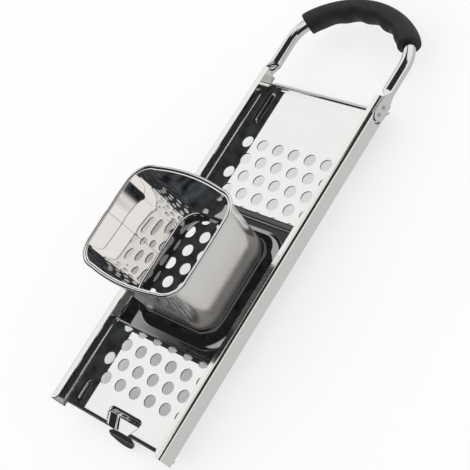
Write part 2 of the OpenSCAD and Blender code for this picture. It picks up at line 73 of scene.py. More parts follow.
SLED_Y = (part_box("sled_tray")[0].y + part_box("sled_tray")[1].y) / 2
SLED_GAP = 0.2 * MM                # between the bed and the sled's tray
FOOT_X = 38.0 * MM                 # half sizes of the hopper at its foot,
FOOT_Y = 37.5 * MM
RIM_X = 48.5 * MM                  # and over its rim
RIM_Y = 40.4 * MM
BOW = 3.2 * MM                     # how far the front and rear walls bow out at the rim
SIDE_BOW = BOW / 10                # the side walls bow only a tenth as much
HOPPER_CORNER = 15.0 * MM
WALL = 0.8 * MM
RIM_D = 2.4 * MM
WALL_FOOT = 15.0 * MM
RIM_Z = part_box("hopper_rim")[1].z - RIM_D / 2
COLLAR_TOP = 18.5 * MM
FLARE_R = 10.0 * MM

TUBE_D = 9.0 * MM
LEG_X = 52.5 * MM
HANDLE_REACH = 65.5 * MM
CROSSBAR_R = 66.5 * MM
CORNER_R = 30.0 * MM
HANDLE_Z = SHEET + RAIL_HEIGHT / 2
TAB_LENGTH = 16.0 * MM
TAB_HEIGHT = 10.6 * MM
TAB_THICKNESS = 1.95 * MM
TAB_SINK = 0.05 * MM
TAB_OVERHANG = 0.5 * MM
TAB_CORNER = 4.8 * MM
TAB_BLEND = 7.0 * MM

GRIP_D = 17.0 * MM
GRIP_LENGTH = 106.0 * MM
GRIP_GAP = 0.25 * MM
GRIP_EDGE = 1.6 * MM
FINGER_DEPTH = 1.9 * MM
FINGER_PITCH = 21.0 * MM
FINGER_SPAN = 2 * FINGER_PITCH     # the hollows reach this far from the middle

# ---------------------------------------------------------------- shader node helpers

NOISE_LOW = 0.3                    # noise mostly lies between these
NOISE_HIGH = 0.7
WHITE = (1, 1, 1)
EVEN = (1, 1, 1)                   # noise that runs the same way in all directions,
ALONG_Y = (1, 0.06, 1)             # drawn out along the bed,
ALONG_Z = (1, 1, 0.08)             # or up the wall


class Shader:
    """Adds nodes to one node tree and joins them up."""

    def __init__(self, tree):
        self.tree = tree

    def add(self, kind, **settings):
        node = self.tree.nodes.new(kind)
        for name, value in settings.items():
            setattr(node, name, value)
        return node

    def feed(self, socket, value):
        """Links another node's output to a socket, or sets the socket to a plain value."""
        if isinstance(value, bpy.types.NodeSocket):
            self.tree.links.new(value, socket)
        else:
            socket.default_value = value

    def math(self, operation, first, second=0.0):
        node = self.add("ShaderNodeMath", operation=operation)
        self.feed(node.inputs[0], first)
        self.feed(node.inputs[1], second)
        return node.outputs["Value"]

    def most(self, *values):
        result = values[0]
        for value in values[1:]:
            result = self.math("MAXIMUM", result, value)
        return result

    def product(self, *values):
        result = values[0]
        for value in values[1:]:
            result = self.math("MULTIPLY", result, value)
        return result

    def map_range(self, value, source, target, **settings):
        node = self.add("ShaderNodeMapRange", **settings)
        self.feed(node.inputs["From Min"], source[0])
        self.feed(node.inputs["From Max"], source[1])
        self.feed(node.inputs["To Min"], target[0])
        self.feed(node.inputs["To Max"], target[1])
        self.feed(node.inputs["Value"], value)
        return node.outputs["Result"]

    def ramp(self, value, start, end):
        """Smooth rise from 0 at start to 1 at end; start may be the larger one."""
        source = (min(start, end), max(start, end))
        target = (0.0, 1.0) if start < end else (1.0, 0.0)
        return self.map_range(value, source, target, interpolation_type="SMOOTHSTEP")

    def band(self, value, low, high, soft=3.0 * MM):
        """1 between low and high, falling to 0 over a soft edge outside."""
        return self.product(self.ramp(value, low - soft, low), self.ramp(value, high + soft, high))

    def blend(self, share, first, second):
        """First at share 0, second at share 1."""
        rest = self.math("SUBTRACT", 1.0, share)
        return self.math("ADD", self.product(rest, first), self.product(share, second))

    def axes(self, vector):
        node = self.add("ShaderNodeSeparateXYZ")
        self.feed(node.inputs["Vector"], vector)
        return node.outputs["X"], node.outputs["Y"], node.outputs["Z"]

    def vector_math(self, operation, first, second):
        node = self.add("ShaderNodeVectorMath", operation=operation)
        self.feed(node.inputs[0], first)
        self.feed(node.inputs[1], second)
        return node

    def noise(self, cells, detail, stretch=EVEN):
        """Noise over the object's own coordinates, with so many cells in a metre."""
        mapping = self.add("ShaderNodeMapping")
        self.feed(mapping.inputs["Vector"], self.add("ShaderNodeTexCoord").outputs["Object"])
        self.feed(mapping.inputs["Scale"], stretch)
        texture = self.add("ShaderNodeTexNoise")
        self.feed(texture.inputs["Vector"], mapping.outputs["Vector"])
        self.feed(texture.inputs["Scale"], cells)
        self.feed(texture.inputs["Detail"], detail)
        return texture.outputs["Fac"]

    def noise_between(self, low, high, cells, detail, stretch=EVEN):
        return self.map_range(self.noise(cells, detail, stretch), (NOISE_LOW, NOISE_HIGH), (low, high))

    def color_mix(self, share, first, second):
        node = self.add("ShaderNodeMix", data_type="RGBA")
        self.feed(node.inputs["Factor"], share)
        self.feed(node.inputs["A"], first)
        self.feed(node.inputs["B"], second)
        return node.outputs["Result"]

    def bump(self, height, strength, distance):
        node = self.add("ShaderNodeBump")
        self.feed(node.inputs["Height"], height)
        self.feed(node.inputs["Strength"], strength)
        self.feed(node.inputs["Distance"], distance)
        return node

    def light(self, kind, strength, color=WHITE):
        node = self.add(kind)
        self.feed(node.inputs["Color"], (*color, 1))
        self.feed(node.inputs["Strength"], strength)
        return node.outputs[0]

    def mix(self, share, first, second):
        node = self.add("ShaderNodeMixShader")
        self.feed(node.inputs["Fac"], share)
        self.feed(node.inputs[1], first)
        self.feed(node.inputs[2], second)
        return node.outputs["Shader"]


def new_material(name):
    """A material with a Principled shader, and the helper that adds to it."""
    mat = bpy.data.materials.new(name)
    mat.use_nodes = True
    return mat, Shader(mat.node_tree), mat.node_tree.nodes["Principled BSDF"]


# ---------------------------------------------------------------- steel

DARK_TINT = 0.94                   # darkest tint of a sheet, as a share of its colour
TINT_CELLS = 35
POLISH_CELLS = 60
WAVE_CELLS = 22
WAVE_HEIGHT = 1.0 * MM
GRAIN_CELLS = 900
GRAIN_HEIGHT = 0.1 * MM
EDGE_R = 0.15 * MM
EDGE_SAMPLES = 4


def sheet_normal(sh, grain, grain_bump, wave, edge, lean):
    """Surface of a rolled sheet: rounded edges, slow waves, and fine grain on top."""
    if edge:
        rounded = sh.add("ShaderNodeBevel", samples=EDGE_SAMPLES)
        sh.feed(rounded.inputs["Radius"], edge)
    else:
        rounded = sh.add("ShaderNodeNewGeometry")
    dished = sh.vector_math("ADD", rounded.outputs["Normal"], (lean, 0, 0))
    slow = sh.bump(sh.noise(WAVE_CELLS, detail=1), wave, WAVE_HEIGHT)
    sh.feed(slow.inputs["Normal"], dished.outputs["Vector"])
    fine = sh.bump(sh.noise(GRAIN_CELLS, detail=2, stretch=grain), grain_bump, GRAIN_HEIGHT)
    sh.feed(fine.inputs["Normal"], slow.outputs["Normal"])
    return fine.outputs["Normal"]


def steel(name, color, rough, grain=EVEN, grain_bump=0.02, wave=0.01, edge=EDGE_R, lean=0.0):
    """Stainless sheet: fine grain along one axis, slow waves of the rolled sheet, uneven polish.

    Lean tilts what the sheet mirrors to the right, as on a slightly dished sheet.
    """
    mat, sh, shader = new_material(name)
    shader.inputs["Metallic"].default_value = 1.0
    darker = [channel * DARK_TINT for channel in color]
    tint = sh.color_mix(sh.noise(TINT_CELLS, detail=2), (*darker, 1), (*color, 1))
    polish = sh.noise_between(*rough, POLISH_CELLS, detail=4, stretch=grain)
    sh.feed(shader.inputs["Base Color"], tint)
    sh.feed(shader.inputs["Roughness"], polish)
    sh.feed(shader.inputs["Normal"], sheet_normal(sh, grain, grain_bump, wave, edge, lean))
    return mat


WARM = (1.0, 0.965, 0.93)
COOL = (0.86, 0.93, 1.0)
UP = (0, 0, 1)
LEFT = (-1, 0, 0)
BLOB_CELLS = 140


def mirrored_level(mat, facing, turned, lit, dim):
    """What other metal sees in this sheet: a lit level where it faces one way, else a dim one.

    It is dim up to the first value of turned and lit from the second, each of which is the share of
    the sheet's normal along facing. The levels stand for the many further bounces between two mirrors.
    """
    sh = Shader(mat.node_tree)
    nodes = mat.node_tree.nodes
    normal = sh.add("ShaderNodeNewGeometry").outputs["Normal"]
    along = sh.vector_math("DOT_PRODUCT", normal, facing).outputs["Value"]
    dim_light = sh.light("ShaderNodeEmission", sh.noise_between(*dim, BLOB_CELLS, detail=1), COOL)
    lit_light = sh.light("ShaderNodeEmission", lit, WARM)
    seen = sh.mix(sh.ramp(along, *turned), dim_light, lit_light)
    mirrored = sh.add("ShaderNodeLightPath").outputs["Is Glossy Ray"]
    own = nodes["Principled BSDF"].outputs["BSDF"]
    sh.feed(nodes["Material Output"].inputs["Surface"], sh.mix(mirrored, own, seen))
    mat.cycles.emission_sampling = "NONE"


# dark colour of the punched hole walls: partly their own, partly painted shade inside the holes
CUT_SHADE_COLOR = (0.10, 0.10, 0.10)
CUT_TURN = (0.3, 0.6)              # upright share of the normal, from a punched edge to the flat face


def dull_shaded_cuts(mat):
    """Punched edges of a flat sheet: darker and dull, next to its polished face; the dark colour is partly
    the cut edge's own and partly painted shade inside the holes.
    """
    sh = Shader(mat.node_tree)
    shader = mat.node_tree.nodes["Principled BSDF"]
    _, _, z = sh.axes(sh.add("ShaderNodeNewGeometry").outputs["True Normal"])
    face = sh.ramp(sh.math("ABSOLUTE", z), *CUT_TURN)
    polish = shader.inputs["Base Color"].links[0].from_socket
    sh.feed(shader.inputs["Base Color"], sh.color_mix(face, (*CUT_SHADE_COLOR, 1), polish))


def plate_steel():
    """The perforated bed."""
    mat = steel("plate_steel", color=(0.90, 0.90, 0.89), rough=(0.03, 0.06), grain=ALONG_Y,
                wave=0.012, edge=0)
    dull_shaded_cuts(mat)
    return mat


def bed_steel():
    """The bed's bent edges and its scoop."""
    return steel("bed_steel", color=(0.88, 0.88, 0.87), rough=(0.03, 0.06), grain=ALONG_Y, wave=0.012)


def stop_dark_reflection_steel():
    """The travel stops, a little rougher from the press, and darker: a painted dark reflection."""
    return steel("stop_dark_reflection_steel", color=(0.34, 0.34, 0.33), rough=(0.10, 0.18), grain=ALONG_Y, wave=0.012)


def rail_steel():
    """The side rails."""
    mat = steel("rail_steel", color=(0.88, 0.87, 0.85), rough=(0.06, 0.11), grain=ALONG_Y,
                grain_bump=0.008, wave=0.008)
    mirrored_level(mat, UP, turned=(0.80, 0.95), lit=0.70, dim=(0.02, 0.05))
    return mat


def tray_dark_reflection_steel():
    """The sled's tray, darker than the bed: a painted dark reflection."""
    mat = steel("tray_dark_reflection_steel", color=(0.36, 0.36, 0.36), rough=(0.04, 0.07), grain=ALONG_Y, lean=0.085)
    mirrored_level(mat, UP, turned=(0.80, 0.95), lit=0.22, dim=(0.02, 0.05))
    return mat


def collar_dark_reflection_steel():
    """The sled's drawn collar, darker than the bed: a painted dark reflection."""
    mat = steel("collar_dark_reflection_steel", color=(0.36, 0.36, 0.36), rough=(0.04, 0.07), lean=0.085)
    mirrored_level(mat, LEFT, turned=(0.12, 0.35), lit=0.86, dim=(0.02, 0.05))
    return mat


def outer_satin():
    """The hopper's brushed outer face."""
    return steel("outer_satin", color=(0.90, 0.885, 0.865), rough=(0.20, 0.26), grain=ALONG_Z,
                 grain_bump=0.03, wave=0.02)


def inner_mirror():
    """The hopper's polished inner face."""
    mat = steel("inner_mirror", color=(0.92, 0.91, 0.90), rough=(0.02, 0.04), grain=ALONG_Z,
                grain_bump=0.01, wave=0.006)
    mirrored_level(mat, LEFT, turned=(0.70, 0.92), lit=0.86, dim=(0.01, 0.09))
    return mat


def rim_steel():
    """The hopper's rolled rim."""
    return steel("rim_steel", color=(0.84, 0.83, 0.81), rough=(0.06, 0.12))


def tube_steel():
    """The handle's tube."""
    return steel("tube_steel", color=(0.82, 0.81, 0.80), rough=(0.05, 0.09), grain=ALONG_Y)


def weld_steel():
    """The uneven grey of the weld spots."""
    return steel("weld_steel", color=(0.50, 0.48, 0.46), rough=(0.28, 0.45), grain_bump=0.20, wave=0.10)


# ---------------------------------------------------------------- rubber

SLEEVE_BLACK = (0.010, 0.010, 0.011)
SLEEVE_DUST = (0.020, 0.020, 0.022)
SLEEVE_ROUGH = (0.50, 0.68)
DUST_CELLS = 120
WEAR_CELLS = 300
SKIN_CELLS = 2600
SKIN_BUMP = 0.35
SKIN_HEIGHT = 0.1 * MM


def grip_rubber():
    """Matte black soft sleeve with a fine skin and faint dust."""
    mat, sh, shader = new_material("grip_rubber")
    dust = sh.noise(DUST_CELLS, detail=5)
    sh.feed(shader.inputs["Base Color"], sh.color_mix(dust, (*SLEEVE_BLACK, 1), (*SLEEVE_DUST, 1)))
    sh.feed(shader.inputs["Roughness"], sh.noise_between(*SLEEVE_ROUGH, WEAR_CELLS, detail=3))
    skin = sh.bump(sh.noise(SKIN_CELLS, detail=2), SKIN_BUMP, SKIN_HEIGHT)
    sh.feed(shader.inputs["Normal"], skin.outputs["Normal"])
    return mat


MATERIALS = {
    "plate_steel": plate_steel(),
    "bed_steel": bed_steel(),
    "stop_dark_reflection_steel": stop_dark_reflection_steel(),
    "rail_steel": rail_steel(),
    "tray_dark_reflection_steel": tray_dark_reflection_steel(),
    "collar_dark_reflection_steel": collar_dark_reflection_steel(),
    "outer_satin": outer_satin(),
    "inner_mirror": inner_mirror(),
    "rim_steel": rim_steel(),
    "tube_steel": tube_steel(),
    "weld_steel": weld_steel(),
    "grip_rubber": grip_rubber(),
}

# ---------------------------------------------------------------- CAD nodes that stay

FINISH = {
    "bed_plate": "plate_steel",
    "travel_stops": "stop_dark_reflection_steel",
    "left_rail": "rail_steel",
    "right_rail": "rail_steel",
    "handle_welds": "weld_steel",
    "sled_tray": "tray_dark_reflection_steel",
}
SMOOTH_BELOW = math.radians(32)


def smooth_shade(mesh):
    """Smooth shading, kept sharp where faces meet at a steep angle."""
    mesh.set_sharp_from_angle(angle=SMOOTH_BELOW)
    mesh.polygons.foreach_set("use_smooth", [True] * len(mesh.polygons))


def finish_nodes():
    """Gives each CAD node that stays its material."""
    for node, material in FINISH.items():
        mesh = NODES[node].data
        mesh.materials.clear()
        mesh.materials.append(MATERIALS[material])
        smooth_shade(mesh)


finish_nodes()

# ---------------------------------------------------------------- mesh helpers


def arc(centre, r, start, end, steps):
    """Points of an arc, both ends included, with angles in degrees."""
    angles = [math.radians(start + (end - start) * i / steps) for i in range(steps + 1)]
    return [(centre[0] + r * math.cos(a), centre[1] + r * math.sin(a)) for a in angles]


def fade(distance, length):
    """1 at distance 0, falling smoothly to 0 at the given length."""
    t = min(max(distance / length, 0), 1)
    return 1 - t * t * (3 - 2 * t)


def spread(start, end, steps):
    """Places from just after start up to end."""
    return [start + (end - start) * (i + 1) / steps for i in range(steps)]


def ring_faces(count, size, closed):
    """Faces between rows of points, with the two end rows capped or joined."""
    faces = []
    for i in range(count if closed else count - 1):
        for j in range(size):
            a = i * size + j
            b = i * size + (j + 1) % size
            shift = ((i + 1) % count - i) * size
            faces.append((a, b, b + shift, a + shift))
    if not closed:
        faces.append(tuple(range(size - 1, -1, -1)))
        faces.append(tuple(range((count - 1) * size, count * size)))
    return faces


def ring_mesh(name, rings, closed=False, slots=None):
    """Mesh through rows of points; slots gives the material of each row of faces."""
    mesh = bpy.data.meshes.new(name)
    size = len(rings[0])
    mesh.from_pydata([p for ring in rings for p in ring], [], ring_faces(len(rings), size, closed))
    for row, slot in enumerate(slots or []):
        for j in range(size):
            mesh.polygons[row * size + j].material_index = slot
    work = bmesh.new()
    work.from_mesh(mesh)
    bmesh.ops.recalc_face_normals(work, faces=work.faces)
    work.to_mesh(mesh)
    work.free()
    smooth_shade(mesh)
    return mesh


def add_piece(name, mesh, body, slot, materials, *replaced):
    """Puts a piece into the scene, rides it on its body and lets it stand for CAD nodes."""
    for material in materials:
        mesh.materials.append(MATERIALS[material])
    piece = bpy.data.objects.new(name, mesh)
    bpy.context.scene.collection.objects.link(piece)
    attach(piece, body)
    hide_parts(*replaced)


# ---------------------------------------------------------------- hopper

SIDE_STEPS = 28
CORNER_STEPS = 14
LEVELS = 20
RIM_SIDES = 20
FLARE_STEPS = 16
LAP_STEP = 0.4 * MM                # height of the steps where the sheet's ends overlap
LAP_WIDTH = 7.0 * MM
LAP_FADE = 14.0 * MM               # length over which the overlapping end comes back to the wall's line
LAP_EDGE = 0.05 * MM
SEAM_Y = -1.5 * MM                 # from the hopper's middle, on its left wall


def inner_lap(y):
    """How far the left wall's inner face moves out at y; its rear end lies inside the front one."""
    return -LAP_STEP * fade(y - SEAM_Y, LAP_FADE) if y > SEAM_Y else 0


def outer_lap(y):
    """How far the left wall's outer face moves out at y; its front end lies over the rear one."""
    return LAP_STEP * fade(SEAM_Y - y, LAP_FADE) if y < SEAM_Y + LAP_WIDTH else 0


def side_places(half, breaks=()):
    """Places along one side, denser where a break asks for a sharp step."""
    places = [half * (2 * i / SIDE_STEPS - 1) for i in range(1, SIDE_STEPS)]
    for at in breaks:
        places += [at - LAP_EDGE, at + LAP_EDGE]
    return sorted(places)


def bowed(reach, bow, at, half):
    """Reach of a wall that bows out by bow in its middle."""
    return reach + bow * (1 - (at / half) ** 2)


def hopper_outline(f, grow, lap):
    """Outline at height fraction f, moved out by grow; lap(y) moves the left wall outwards."""
    hx = FOOT_X + (RIM_X - RIM_D - FOOT_X) * f + grow
    hy = FOOT_Y + (RIM_Y - RIM_D - FOOT_Y) * f + grow
    r = HOPPER_CORNER + grow
    bow_x = SIDE_BOW * f
    bow_y = BOW * f
    cx = hx - r
    cy = hy - r
    points = [(bowed(hx, bow_x, y, cy), y) for y in side_places(cy)]
    points += arc((cx, cy), r, 0, 90, CORNER_STEPS)
    points += [(x, bowed(hy, bow_y, x, cx)) for x in reversed(side_places(cx))]
    points += arc((-cx, cy), r, 90, 180, CORNER_STEPS)
    for y in reversed(side_places(cy, (SEAM_Y, SEAM_Y + LAP_WIDTH))):
        points.append((-bowed(hx, bow_x, y, cy) - lap(y), y))
    points += arc((-cx, -cy), r, 180, 270, CORNER_STEPS)
    points += [(x, -bowed(hy, bow_y, x, cx)) for x in side_places(cx)]
    points += arc((cx, -cy), r, 270, 360, CORNER_STEPS)
    return points


def on_sled(outline, z):
    """An outline drawn round the hopper's middle, put in its place at height z."""
    return [(x, y + SLED_Y, z) for x, y in outline]


def hopper_ring(f, grow, lap):
    """Section of the hopper's wall at height fraction f."""
    return on_sled(hopper_outline(f, grow, lap), WALL_FOOT + (RIM_Z - WALL_FOOT) * f)


def hopper_sheet():
    """The wrapped wall: satin outside, mirror inside, with its lap seam on the left."""
    outer = [hopper_ring(1 - i / LEVELS, 0, outer_lap) for i in range(LEVELS + 1)]
    inner = [hopper_ring(i / LEVELS, -WALL, inner_lap) for i in range(LEVELS + 1)]
    slots = [0] * (LEVELS + 1) + [1] * (LEVELS + 1)
    mesh = ring_mesh("hopper_sheet", outer + inner, closed=True, slots=slots)
    add_piece("hopper_sheet", mesh, "sled", "hopper_steel", ["outer_satin", "inner_mirror"], "hopper_wall")


def hopper_roll():
    """The rolled rim, with a small step at the lap seam."""
    rings = []
    for i in range(RIM_SIDES):
        a = -2 * math.pi * i / RIM_SIDES
        out = RIM_D / 2 * (1 + math.cos(a))
        rings.append(on_sled(hopper_outline(1, out, inner_lap), RIM_Z + RIM_D / 2 * math.sin(a)))
    mesh = ring_mesh("hopper_roll", rings, closed=True)
    add_piece("hopper_roll", mesh, "sled", "hopper_steel", ["rim_steel"], "hopper_rim")


def collar_profile():
    """Closed section as (distance outwards from the neck's outer face, z), top face first."""
    centre = (FLARE_R, SHEET + SLED_GAP + SHEET + FLARE_R)
    over = arc(centre, FLARE_R, 180, 270, FLARE_STEPS)
    under = arc(centre, FLARE_R + SHEET, 270, 180, FLARE_STEPS)
    return [(0, COLLAR_TOP)] + over + under + [(-SHEET, COLLAR_TOP)]


def plain_outline(hx, hy, r):
    """Rounded rectangle with straight sides, seen from above."""
    points = []
    for quarter, (sx, sy) in enumerate([(1, 1), (-1, 1), (-1, -1), (1, -1)]):
        start = 90 * quarter
        points += arc((sx * (hx - r), sy * (hy - r)), r, start, start + 90, CORNER_STEPS)
    return points


def drawn_collar():
    """The collar drawn up from the tray, with its wide flare."""
    rings = []
    for out, z in collar_profile():
        grow = out - WALL
        rings.append(on_sled(plain_outline(FOOT_X + grow, FOOT_Y + grow, HOPPER_CORNER + grow), z))
    mesh = ring_mesh("drawn_collar", rings, closed=True)
    add_piece("drawn_collar", mesh, "sled", "sled_steel", ["collar_dark_reflection_steel"], "hopper_collar")


hopper_sheet()
hopper_roll()
drawn_collar()

# ---------------------------------------------------------------- front edge

LIP_LENGTH = 109.0 * MM
LIP_START = BED_FRONT + 1.8 * MM   # where the flat bed ends,
LIP_BEND = BED_FRONT + 0.9 * MM    # and where it starts to roll down
LIP_R = 2.3 * MM
LIP_DROP = 0.3 * MM
LIP_FACE = LIP_BEND - LIP_R
LIP_STEPS = 12

HOOK_LENGTH = 12.0 * MM
HOOK_BACK_HALF = 19.0 * MM
HOOK_MOUTH_HALF = 12.5 * MM
HOOK_CORNER = 4.0 * MM
HOOK_CORNER_LEAST = 0.4 * MM
HOOK_FLOOR = -6.0 * MM
HOOK_SLOPE = math.radians(75)      # of the scoop's walls
SIDE_SLANT = (HOOK_BACK_HALF - HOOK_MOUTH_HALF) / HOOK_LENGTH
SLANT_LENGTH = math.hypot(1, SIDE_SLANT)
SHOULDER_R = 2.2 * MM
FILLET_R = 1.5 * MM
TURN_STEPS = 10                    # round the shoulder, and round the fillet
SCOOP_SIDE_STEPS = 16
SCOOP_CORNER_STEPS = 12
SCOOP_BACK_STEPS = 6

TONGUE_R = 14.0 * MM
TONGUE_REACH = 6.5 * MM
TONGUE_END = -15.3 * MM
TONGUE_MID = TONGUE_END + TONGUE_R
TONGUE_ROLL = 4.0 * MM
TONGUE_FLARE = 3.5 * MM            # length over which it widens in front of the bed
TONGUE_TIP = 0.2 * MM              # half width left at its tip
TONGUE_OVERLAP = 0.1 * MM          # of the floor with the scoop's walls
FLOOR_STEPS = 8
ROLL_STEPS = 12
FALL_STEPS = 14
HALF_STEPS = 8                     # from the middle of the tongue to its side


def lip_height(y):
    """Height of the bed's top face where it rolls down at the front edge."""
    past = min(max(LIP_BEND - y, 0), LIP_R)
    return SHEET - LIP_R + math.sqrt(LIP_R ** 2 - past ** 2)


def lip_ring(x):
    """Section of the turned-down edge at x."""
    centre = (LIP_BEND, SHEET - LIP_R)
    low = SHEET - LIP_R - LIP_DROP
    section = [(LIP_START, SHEET)] + arc(centre, LIP_R, 90, 180, LIP_STEPS)
    section += [(LIP_FACE, low), (LIP_FACE + SHEET, low)]
    section += arc(centre, LIP_R - SHEET, 180, 90, LIP_STEPS) + [(LIP_START, 0)]
    return [(x, y, z) for y, z in section]


def scoop_profile():
    """Section of the scoop's wall as (distance inwards, z, tilt), from the bed to the floor."""
    turns = [HOOK_SLOPE * i / TURN_STEPS for i in range(TURN_STEPS + 1)]
    both_r = SHOULDER_R + FILLET_R
    fall = SHEET - HOOK_FLOOR - both_r * (1 - math.cos(HOOK_SLOPE))
    end = both_r * math.sin(HOOK_SLOPE) + fall / math.tan(HOOK_SLOPE)
    shoulder = [(SHOULDER_R * math.sin(a), SHEET - SHOULDER_R * (1 - math.cos(a)), a) for a in turns]
    fillet = [(end - FILLET_R * math.sin(a), HOOK_FLOOR + FILLET_R * (1 - math.cos(a)), a)
              for a in reversed(turns)]
    return shoulder + fillet


FLOOR_INSET = scoop_profile()[-1][0]


def scoop_half(y, inset):
    """Half width of the scoop at y, moved inwards by inset."""
    return HOOK_MOUTH_HALF + SIDE_SLANT * (y - BED_FRONT) - inset * SLANT_LENGTH


def scoop_outline(inset):
    """The scoop's U-shaped outline from above, from its front left to its front right end."""
    back = BED_FRONT + HOOK_LENGTH - inset
    corner = Vector((scoop_half(back, inset), back))
    r = max(HOOK_CORNER - inset, HOOK_CORNER_LEAST)
    to_front = Vector((-SIDE_SLANT, -1)) / SLANT_LENGTH
    to_middle = Vector((-1, 0))
    half = to_front.angle(to_middle) / 2
    centre = corner + (to_front + to_middle).normalized() * r / math.sin(half)
    start = corner + to_front * r / math.tan(half)
    first = math.atan2(start.y - centre.y, start.x - centre.x)
    ys = [LIP_FACE + (start.y - LIP_FACE) * i / SCOOP_SIDE_STEPS for i in range(SCOOP_SIDE_STEPS)]
    right = [(scoop_half(y, inset), y) for y in ys]
    right += arc(centre, r, math.degrees(first), 90, SCOOP_CORNER_STEPS)
    right += [(right[-1][0] * (1 - i / SCOOP_BACK_STEPS), back) for i in range(1, SCOOP_BACK_STEPS)]
    left = [(-x, y) for x, y in right]
    return left + [(0, back)] + right[::-1]


def scoop_rings():
    """Sections across the scoop's wall, one for each point of its outline."""
    rows = []
    for inset, z, _ in scoop_profile():
        rows.append([(x, y, min(z, lip_height(y))) for x, y in scoop_outline(inset)])
    for inset, z, tilt in reversed(scoop_profile()):
        outline = scoop_outline(inset - SHEET * math.sin(tilt))
        drop = SHEET * math.cos(tilt)
        rows.append([(x, y, min(z, lip_height(y)) - drop) for x, y in outline])
    return list(zip(*rows))


def tongue_path():
    """Middle line of floor and tongue as (y, z, tilt), from the back of the floor to the tip."""
    mid = HOOK_FLOOR - SHEET / 2
    tip = BED_FRONT - TONGUE_REACH
    bend = tip + (mid - TONGUE_END) / math.tan(HOOK_SLOPE) + TONGUE_ROLL * math.tan(HOOK_SLOPE / 2)
    back = BED_FRONT + HOOK_LENGTH - FLOOR_INSET
    path = [(back + (bend - back) * i / FLOOR_STEPS, mid, 0) for i in range(FLOOR_STEPS)]
    for i in range(ROLL_STEPS + 1):
        a = HOOK_SLOPE * i / ROLL_STEPS
        path.append((bend - TONGUE_ROLL * math.sin(a), mid - TONGUE_ROLL * (1 - math.cos(a)), a))
    y, z, _ = path[-1]
    path += zip(spread(y, tip, FALL_STEPS), spread(z, TONGUE_END, FALL_STEPS), [HOOK_SLOPE] * FALL_STEPS)
    return path


def tongue_half(y, z):
    """Half width of floor and tongue: inside the scoop, then flaring out, then round."""
    neck = scoop_half(max(y, BED_FRONT), FLOOR_INSET) + TONGUE_OVERLAP
    if y > BED_FRONT:
        return neck
    wide = math.sqrt(max(TONGUE_R ** 2 - (TONGUE_MID - z) ** 2, TONGUE_TIP ** 2))
    return min(wide, neck + (wide - neck) * (1 - fade(BED_FRONT - y, TONGUE_FLARE)))


def tongue_rings():
    """Sections across floor and tongue."""
    rings = []
    for y, z, tilt in tongue_path():
        half = tongue_half(y, z)
        out = Vector((0, -math.sin(tilt), math.cos(tilt))) * SHEET / 2
        across = [Vector((half * (i / HALF_STEPS - 1), y, z)) for i in range(2 * HALF_STEPS + 1)]
        rings.append([point + out for point in across] + [point - out for point in reversed(across)])
    return rings


def rolled_lip(name, side):
    """The turned-down front edge on one side of the scoop."""
    near = scoop_half(LIP_FACE, 0)
    step = (LIP_LENGTH / 2 - near) / LIP_STEPS
    rings = [lip_ring(side * (near + step * i)) for i in range(LIP_STEPS + 1)]
    add_piece(name, ring_mesh(name, rings), "bed", "bed_steel", ["bed_steel"], "front_lip")


def pot_hook():
    """The scoop's walls, and its floor with the tongue."""
    for name, rings in (("scoop_walls", scoop_rings()), ("scoop_tongue", tongue_rings())):
        add_piece(name, ring_mesh(name, rings), "bed", "bed_steel", ["bed_steel"], "pot_hook")


rolled_lip("lip_left", -1)
rolled_lip("lip_right", 1)
pot_hook()

# ---------------------------------------------------------------- rear edge

HEM_R = 10.0 * MM
HEM_CORNER = 11.0 * MM             # length over which the curl's lower corners are rounded off
HEM_LEAST = 0.35                   # share of the curl that is left at its very ends
HEM_STEPS = 18
HEM_END_STEPS = 12


def hem_ring(x):
    """Section of the curl at x; near the ends its lower part is cut away by the round corners."""
    left = LIP_LENGTH / 2 - abs(x)
    share = math.sqrt(1 - (1 - min(left / HEM_CORNER, 1)) ** 2)
    low = 90 - 90 * (HEM_LEAST + (1 - HEM_LEAST) * share)
    centre = (BED_REAR - HEM_R, SHEET - HEM_R)
    section = arc(centre, HEM_R, 90, low, HEM_STEPS) + arc(centre, HEM_R - SHEET, low, 90, HEM_STEPS)
    return [(x, y, z) for y, z in section]


def rear_curl():
    """The bed's rear edge, curled down, with rounded lower corners."""
    turns = [math.pi / 2 * i / HEM_END_STEPS for i in range(HEM_END_STEPS + 1)]
    ends = [LIP_LENGTH / 2 - HEM_CORNER * (1 - math.cos(turn)) for turn in turns]
    places = [-x for x in ends] + ends[::-1]
    mesh = ring_mesh("rear_curl", [hem_ring(x) for x in places])
    add_piece("rear_curl", mesh, "bed", "bed_steel", ["bed_steel"], "rear_hem")


rear_curl()

# ---------------------------------------------------------------- handle

CROSSBAR_Y = BED_REAR + HANDLE_REACH - CROSSBAR_R
CORNER_X = LEG_X - CORNER_R
CORNER_Y = CROSSBAR_Y + math.sqrt((CROSSBAR_R - CORNER_R) ** 2 - CORNER_X ** 2)
CORNER_TURN = math.atan2(CORNER_Y - CROSSBAR_Y, CORNER_X)
TAB_REAR = RAIL_REAR + TAB_OVERHANG
TAB_SHIFT = RAIL_X - TAB_SINK - TAB_THICKNESS / 2 - LEG_X

# distances along the centre line, from the middle of the crossbar
BAR_END = CROSSBAR_R * (math.pi / 2 - CORNER_TURN)
BEND_END = BAR_END + CORNER_R * CORNER_TURN
LEG_END = BEND_END + CORNER_Y - (TAB_REAR + TAB_BLEND)
TAB_START = LEG_END + TAB_BLEND
TAB_END = TAB_START + TAB_LENGTH

TUBE_SIDES = 48
BEND_STEPS = 24
LEG_STEPS = 4
BLEND_STEPS = 16
TAB_STEPS = 6
TAB_CORNER_STEPS = 10
FLAT_SIDES = 0.22                  # exponents that square off the flattened end across,
FLAT_ENDS = 0.5                    # and round its edges


